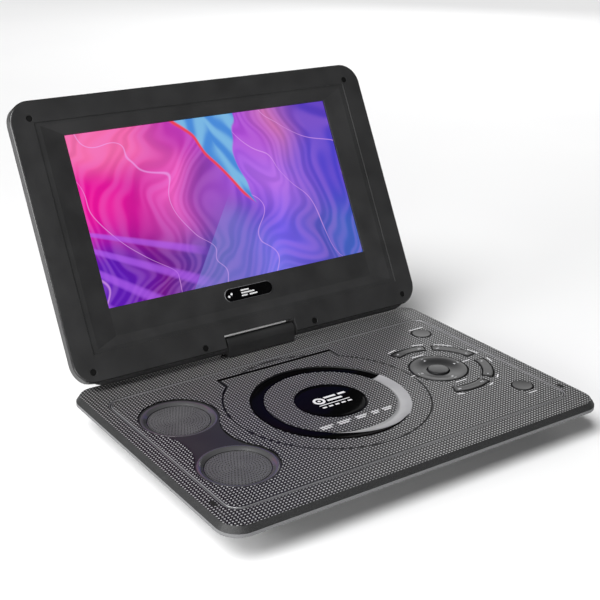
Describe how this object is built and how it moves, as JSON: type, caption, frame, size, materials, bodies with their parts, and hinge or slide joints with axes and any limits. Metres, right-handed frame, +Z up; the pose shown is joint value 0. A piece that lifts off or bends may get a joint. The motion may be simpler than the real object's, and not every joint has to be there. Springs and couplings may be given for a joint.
{
  "type": "portable dvd player",
  "caption": "Flat portable disc player: a base with two speakers, a round disc door and curved keys, and a wide-screen lid on a centre block that tilts and swivels.",
  "frame": {"origin": "on the table top, under the middle of the base, in the plane of the four feet", "axes": "+X to the right of someone facing the screen, +Y to the back where the hinge is, +Z up"},
  "size_m": [0.3, 0.2979, 0.2109],
  "materials": {
    "deck_plastic": "dark grey, fine diagonal dot texture",
    "case_plastic": "fine spark texture",
    "satin_plastic": "smooth satin",
    "grille_plastic": "satin, perforated",
    "plated_steel": "zinc plated",
    "cone_paper": "pressed cone",
    "tray_plastic": "satin",
    "stamped_steel": "stamped sheet",
    "soft_rubber": "matt",
    "circuit_board": "solder resist",
    "socket_plastic": "moulded",
    "av_plastic": "moulded",
    "battery_wrap": "shrink wrap",
    "screw_steel": "blackened",
    "plug_rubber": "matt",
    "gloss_black": "polished black",
    "bright_steel": "polished",
    "lens_glass": "coated lens",
    "screw_brass": "turned",
    "key_plastic": "smooth satin",
    "hinge_plastic": "satin",
    "spring_steel": "blued",
    "lid_plastic": "satin black",
    "lid_back_plastic": "satin black",
    "screen_glass": "lit screen under a clear front",
    "frame_plastic": "backlight frame"
  },
  "bodies": {
    "base": {"base_top_case": "deck_plastic", "base_bottom_case": "case_plastic", "speaker_trim": "satin_plastic", "speaker_grille_rear": "grille_plastic", "speaker_grille_front": "grille_plastic", "speaker_driver_rear": "plated_steel", "speaker_driver_front": "plated_steel", "speaker_cones": "cone_paper", "disc_tray": "tray_plastic", "mech_chassis": "stamped_steel", "mech_dampers": "soft_rubber", "guide_rods": "plated_steel", "spindle_motor": "plated_steel", "sled_motor": "plated_steel", "main_board": "circuit_board", "key_board": "circuit_board", "tact_switches": "plated_steel", "headphone_jack": "socket_plastic", "av_jack": "av_plastic", "dc_jack": "socket_plastic", "usb_port": "plated_steel", "card_slot": "plated_steel", "power_switch": "plated_steel", "battery_pack": "battery_wrap", "battery_cover": "case_plastic", "rubber_feet": "soft_rubber", "case_screws": "screw_steel", "rim_plugs": "plug_rubber"},
    "hinge_block": {"hinge_front_shell": "hinge_plastic", "hinge_rear_shell": "hinge_plastic", "swivel_post": "plated_steel", "friction_clips": "spring_steel", "swivel_washer": "plated_steel"},
    "lid": {"tilt_shaft": "bright_steel", "hinge_brackets": "stamped_steel", "lid_bezel": "lid_plastic", "lid_rear_cover": "lid_back_plastic", "lcd_panel": "screen_glass", "lcd_frame": "frame_plastic", "lcd_board": "circuit_board", "ir_window": "gloss_black", "lid_plugs": "plug_rubber"},
    "door": {"disc_door": "deck_plastic", "door_ring": "gloss_black", "door_hub_cap": "gloss_black"},
    "platter": {"turntable": "tray_plastic", "hub_balls": "bright_steel"},
    "pickup": {"pickup_sled": "tray_plastic", "pickup_lens": "lens_glass"},
    "drive_screw": {"lead_screw": "screw_brass"},
    "dpad": {"dpad_ring": "key_plastic"},
    "dpad_gimbal": {"dpad_gimbal": "socket_plastic"},
    "dpad_button": {"dpad_button": "key_plastic"},
    "rocker_rear_left": {"rocker_rear_left": "key_plastic"},
    "rocker_rear_right": {"rocker_rear_right": "key_plastic"},
    "rocker_right": {"rocker_right": "key_plastic"},
    "rocker_front": {"rocker_front": "key_plastic"},
    "button_rear": {"button_rear": "key_plastic"},
    "button_front": {"button_front": "key_plastic"},
    "power_knob": {"power_knob": "socket_plastic"}
  },
  "joints": [
    {"name": "hinge_swivel", "type": "hinge", "parent": "base", "child": "hinge_block", "pos_m": [0, 0.0963, 0.026], "axis": [0, 0, 1], "range_deg": [0, 180]},
    {"name": "lid_tilt", "type": "hinge", "parent": "hinge_block", "child": "lid", "pos_m": [0, 0.0985, 0.0346], "axis": [1, 0, 0], "range_deg": [-62, 118]},
    {"name": "disc_door_hinge", "type": "hinge", "parent": "base", "child": "door", "pos_m": [-0.007, 0.0626, 0.0226], "axis": [1, 0, 0], "range_deg": [-50, 0]},
    {"name": "turntable_spin", "type": "hinge", "parent": "base", "child": "platter", "pos_m": [-0.007, -0.0035, 0.0192], "axis": [0, 0, 1], "continuous": true},
    {"name": "pickup_slide", "type": "slide", "parent": "base", "child": "pickup", "axis": [1, 0, 0], "range_m": [0, 0.031]},
    {"name": "lead_screw_turn", "type": "hinge", "parent": "base", "child": "drive_screw", "pos_m": [0.017, -0.0225, 0.011], "axis": [1, 0, 0], "range_deg": [0, 5590]},
    {"name": "rocker_rear_left_rock", "type": "hinge", "parent": "base", "child": "rocker_rear_left", "pos_m": [0.0885, -0.0045, 0.022], "axis": [0.0087, 1, 0], "range_deg": [-2.5, 2.5], "stiffness_Nm_per_rad": 0.02},
    {"name": "rocker_rear_right_rock", "type": "hinge", "parent": "base", "child": "rocker_rear_right", "pos_m": [0.0885, -0.0045, 0.022], "axis": [0.848, 0.5299, 0], "range_deg": [-2.5, 2.5], "stiffness_Nm_per_rad": 0.02},
    {"name": "rocker_right_rock", "type": "hinge", "parent": "base", "child": "rocker_right", "pos_m": [0.0885, -0.0045, 0.022], "axis": [0.8616, -0.5075, 0], "range_deg": [-2.5, 2.5], "stiffness_Nm_per_rad": 0.02},
    {"name": "rocker_front_rock", "type": "hinge", "parent": "base", "child": "rocker_front", "pos_m": [0.0885, -0.0045, 0.022], "axis": [0.0175, -0.9998, 0], "range_deg": [-2.5, 2.5], "stiffness_Nm_per_rad": 0.02},
    {"name": "dpad_tilt_x", "type": "hinge", "parent": "base", "child": "dpad_gimbal", "pos_m": [0.0885, -0.0045, 0.022], "axis": [1, 0, 0], "range_deg": [-2, 2], "stiffness_Nm_per_rad": 0.05},
    {"name": "dpad_tilt_y", "type": "hinge", "parent": "dpad_gimbal", "child": "dpad", "pos_m": [0.0885, -0.0045, 0.022], "axis": [0, 1, 0], "range_deg": [-2, 2], "stiffness_Nm_per_rad": 0.05},
    {"name": "dpad_button_press", "type": "slide", "parent": "base", "child": "dpad_button", "axis": [0, 0, 1], "range_m": [-0.0006, 0], "stiffness_N_per_m": 300},
    {"name": "button_rear_press", "type": "slide", "parent": "base", "child": "button_rear", "axis": [0, 0, 1], "range_m": [-0.0006, 0], "stiffness_N_per_m": 300},
    {"name": "button_front_press", "type": "slide", "parent": "base", "child": "button_front", "axis": [0, 0, 1], "range_m": [-0.0006, 0], "stiffness_N_per_m": 300},
    {"name": "power_knob_slide", "type": "slide", "parent": "base", "child": "power_knob", "axis": [1, 0, 0], "range_m": [0, 0.004]}
  ],
  "couplings": [
    {"joint": "lead_screw_turn", "follows": "pickup_slide", "rad_per_m": 3141.6}
  ]
}
